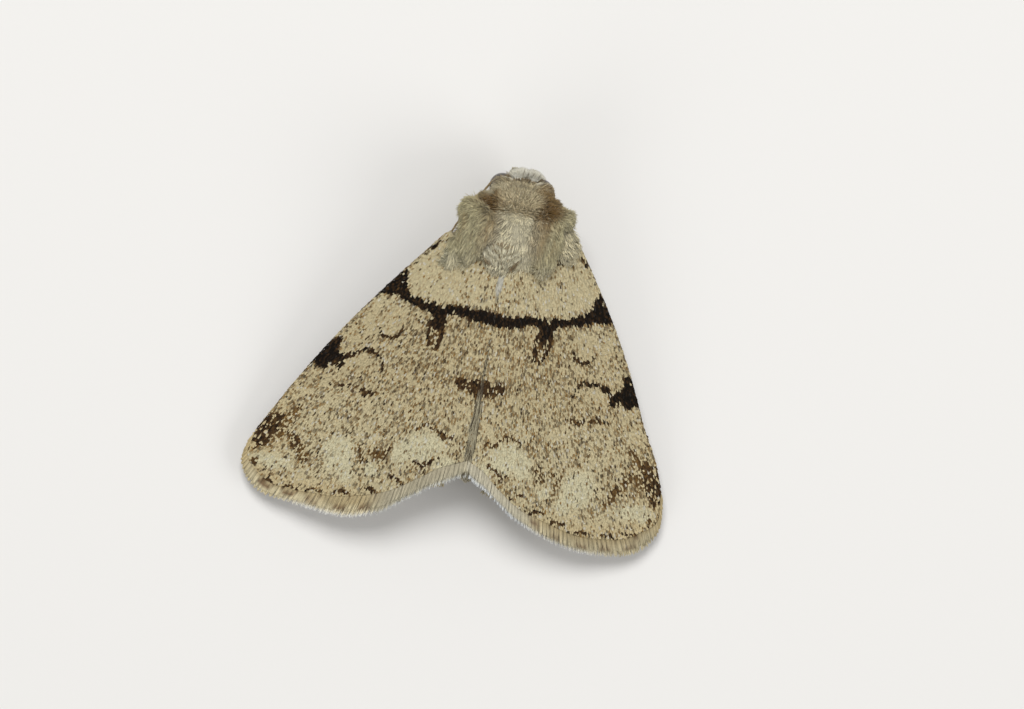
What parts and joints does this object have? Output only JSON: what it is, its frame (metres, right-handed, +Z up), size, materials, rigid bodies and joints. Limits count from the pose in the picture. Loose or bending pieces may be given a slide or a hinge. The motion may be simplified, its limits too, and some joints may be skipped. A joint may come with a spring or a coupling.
{
  "type": "resting moth",
  "caption": "Life-size still moth at rest, furred body under a flat roof of broad cream forewings with dark lines, standing on its bent legs.",
  "frame": {"origin": "centre of the bounding box on the floor, under the feet", "axes": "+Z up; the head points along -Y and the tail along +Y; +X is the moth's own left side"},
  "size_m": [0.0216, 0.0192, 0.0062],
  "materials": {
    "body_fur": "soft matt hair-like scales, cream to grey-brown",
    "abdomen_fur": "matt short scales and hair, grey-brown",
    "forewing_scales": "matt overlapping scales, cream with dark brown lines and specks",
    "hindwing_scales": "matt overlapping scales, plain grey-brown",
    "leg_scales": "matt scales, cream ringed with brown",
    "feeler": "slightly satin, pale scaled at the base",
    "eye": "smooth dark facetted eye with a soft shine"
  },
  "bodies": {
    "root": {"abdomen": "abdomen_fur", "antenna_left": "feeler", "antenna_right": "feeler", "eye_left": "eye", "eye_right": "eye", "forewing_left": "forewing_scales", "forewing_right": "forewing_scales", "head": "body_fur", "hindwing_left": "hindwing_scales", "hindwing_right": "hindwing_scales", "leg_fore_left": "leg_scales", "leg_fore_right": "leg_scales", "leg_hind_left": "leg_scales", "leg_hind_right": "leg_scales", "leg_mid_left": "leg_scales", "leg_mid_right": "leg_scales", "palp_left": "body_fur", "palp_right": "body_fur", "tegula_left": "body_fur", "tegula_right": "body_fur", "thorax": "body_fur"}
  },
  "joints": []
}
